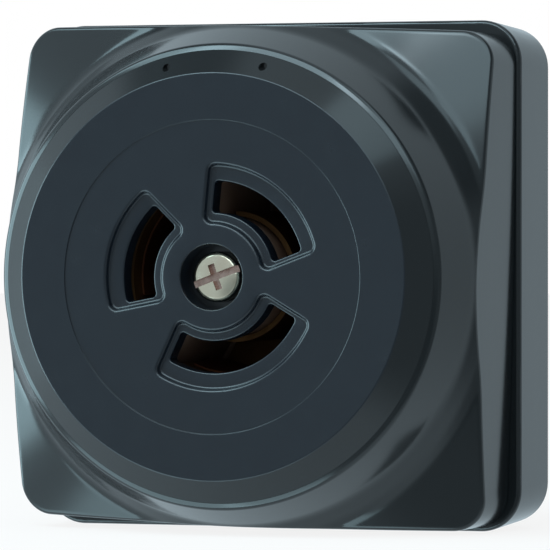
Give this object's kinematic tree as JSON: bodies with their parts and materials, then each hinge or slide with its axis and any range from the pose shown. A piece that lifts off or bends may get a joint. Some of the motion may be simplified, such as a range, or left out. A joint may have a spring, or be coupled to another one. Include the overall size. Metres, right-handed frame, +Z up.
{
  "type": "locking socket",
  "caption": "Surface mounted locking socket: square base, bell cover and a round face with curved slots around a centre screw.",
  "frame": {"origin": "centre of the face that lies on the wall, on the axis of the cable entry", "axes": "-Y out of the front, away from the wall; +Z up; +X to the right as seen from the front"},
  "size_m": [0.082, 0.0488, 0.082],
  "materials": {
    "black_moulding": "glossy black moulded thermoset",
    "face_moulding": "satin slate black moulded thermoset",
    "block_moulding": "satin black moulded thermoset",
    "plated_steel": "bright zinc plate",
    "contact_brass": "rolled brass strip",
    "spring_bronze": "phosphor bronze leaf",
    "terminal_brass": "turned and stamped brass"
  },
  "bodies": {
    "root": {"base_body": "black_moulding", "base_insert_left": "terminal_brass", "base_insert_lower": "terminal_brass", "base_insert_right": "terminal_brass", "block_screw_left": "plated_steel", "block_screw_lower": "plated_steel", "block_screw_right": "plated_steel", "centre_insert": "terminal_brass", "centre_screw": "plated_steel", "centre_washer": "plated_steel", "clamp_plate_left": "terminal_brass", "clamp_plate_lower": "terminal_brass", "clamp_plate_right": "terminal_brass", "contact_block": "block_moulding", "contact_left": "contact_brass", "contact_lower": "contact_brass", "contact_right": "contact_brass", "contact_spring_left": "spring_bronze", "contact_spring_lower": "spring_bronze", "contact_spring_right": "spring_bronze", "cover_shell": "black_moulding", "socket_face": "face_moulding", "terminal_screw_left": "terminal_brass", "terminal_screw_lower": "terminal_brass", "terminal_screw_right": "terminal_brass"}
  },
  "joints": []
}
